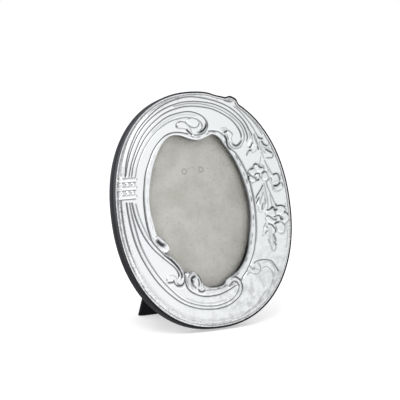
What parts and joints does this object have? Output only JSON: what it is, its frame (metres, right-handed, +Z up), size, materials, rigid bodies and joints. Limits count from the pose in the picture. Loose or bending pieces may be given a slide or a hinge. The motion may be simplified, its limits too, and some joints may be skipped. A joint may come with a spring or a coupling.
{
  "type": "oval picture frame",
  "caption": "Free-standing oval frame with a pressed sheet-metal front in a scroll and leaf pattern, a velvet-covered band and back, glass, and a hinged strut.",
  "frame": {"origin": "middle of the small flat at the frame's lowest point, on the surface that the frame stands on", "axes": "+Z up, -Y out of the front towards the viewer, +X to the right as the front is seen; the frame leans back 15.6 degrees"},
  "size_m": [0.1484, 0.0731, 0.1753],
  "materials": {
    "silver": "pressed and polished sheet silver, tarnished in the hollows",
    "silver_pin": "polished round pin heads",
    "wood": "plain sawn softwood",
    "velvet": "dark grey velvet",
    "back_velvet": "dark grey velvet",
    "glass": "clear flat picture glass",
    "card": "plain light grey card",
    "board": "dense grey-brown board",
    "hinge_steel": "nickel-plated steel",
    "rivet_steel": "nickel-plated tubular rivets",
    "button_brass": "lacquered sheet brass"
  },
  "bodies": {
    "frame": {"silver_front": "silver", "front_pins": "silver_pin", "wood_core": "wood", "velvet_band": "velvet", "glass_pane": "glass", "display_card": "card", "backing_board": "board", "backing_cloth": "back_velvet", "hinge_board_leaf": "hinge_steel", "hinge_pin": "hinge_steel", "board_rivets": "rivet_steel", "button_screws": "button_brass"},
    "strut": {"strut_board": "board", "strut_cloth": "back_velvet", "hinge_strut_leaf": "hinge_steel", "strut_rivets": "rivet_steel"},
    "turn_button_upper_right": {"turn_button_upper_right": "button_brass"},
    "turn_button_upper_left": {"turn_button_upper_left": "button_brass"},
    "turn_button_lower_left": {"turn_button_lower_left": "button_brass"},
    "turn_button_lower_right": {"turn_button_lower_right": "button_brass"}
  },
  "joints": [
    {"name": "strut_hinge", "type": "hinge", "parent": "frame", "child": "strut", "pos_m": [-0.0055, 0.03334, 0.10622], "axis": [-1, 0, 0], "range_deg": [0, 29]},
    {"name": "turn_button_upper_right_pivot", "type": "hinge", "parent": "frame", "child": "turn_button_upper_right", "pos_m": [0.04173, 0.0358, 0.12079], "axis": [0, -0.9632, 0.2689], "continuous": true},
    {"name": "turn_button_upper_left_pivot", "type": "hinge", "parent": "frame", "child": "turn_button_upper_left", "pos_m": [-0.05273, 0.0358, 0.12079], "axis": [0, -0.9632, 0.2689], "continuous": true},
    {"name": "turn_button_lower_left_pivot", "type": "hinge", "parent": "frame", "child": "turn_button_lower_left", "pos_m": [-0.05273, 0.01595, 0.04971], "axis": [0, -0.9632, 0.2689], "continuous": true},
    {"name": "turn_button_lower_right_pivot", "type": "hinge", "parent": "frame", "child": "turn_button_lower_right", "pos_m": [0.04173, 0.01595, 0.04971], "axis": [0, -0.9632, 0.2689], "continuous": true}
  ]
}
